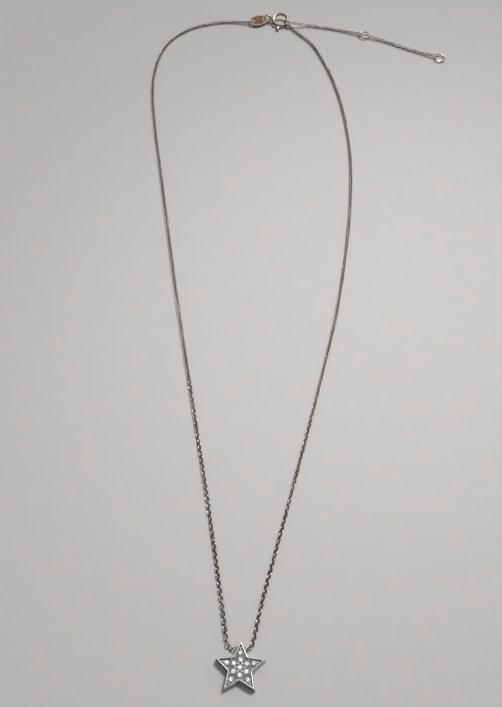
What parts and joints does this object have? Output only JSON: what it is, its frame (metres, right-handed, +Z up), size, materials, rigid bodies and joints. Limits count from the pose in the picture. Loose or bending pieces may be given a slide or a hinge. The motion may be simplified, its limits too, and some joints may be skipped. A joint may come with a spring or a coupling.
{
  "type": "star pendant necklace",
  "caption": "Small pave-set star on a fine trace chain with a spring ring clasp, an oval end tag and an extension chain, lying closed on a flat surface.",
  "frame": {"origin": "middle of the underside of the box round the whole necklace, on the surface that it lies on", "axes": "+Y from the star towards the clasp, +X to the free end of the extension chain, +Z up from the surface and out of the star's face"},
  "size_m": [0.0832, 0.1882, 0.0023],
  "materials": {
    "setting_metal": "polished white metal, rhodium plated",
    "stone": "clear cut stone",
    "chain_metal": "bright rose gold plate on fine wire",
    "finding_metal": "polished rose gold plate"
  },
  "bodies": {
    "necklace": {"star_setting": "setting_metal", "stone_01": "stone", "stone_02": "stone", "stone_03": "stone", "stone_04": "stone", "stone_05": "stone", "stone_06": "stone", "stone_07": "stone", "stone_08": "stone", "stone_09": "stone", "stone_10": "stone", "stone_11": "stone", "stone_12": "stone", "chain_left": "chain_metal", "chain_right": "chain_metal", "extension_inner": "chain_metal", "extension_outer": "chain_metal", "end_tag": "finding_metal", "tag_ring": "finding_metal", "clasp_ring": "finding_metal", "joining_ring": "finding_metal", "middle_ring": "finding_metal", "end_ring": "finding_metal"},
    "gate": {"clasp_gate": "finding_metal"}
  },
  "joints": [
    {"name": "gate_slide", "type": "hinge", "parent": "necklace", "child": "gate", "pos_m": [-0.00338, 0.09155, 0.00118], "axis": [0, 0.2079, -0.9781], "range_deg": [0, 42], "stiffness_Nm_per_rad": 0.002, "springref_deg": -20.05}
  ]
}
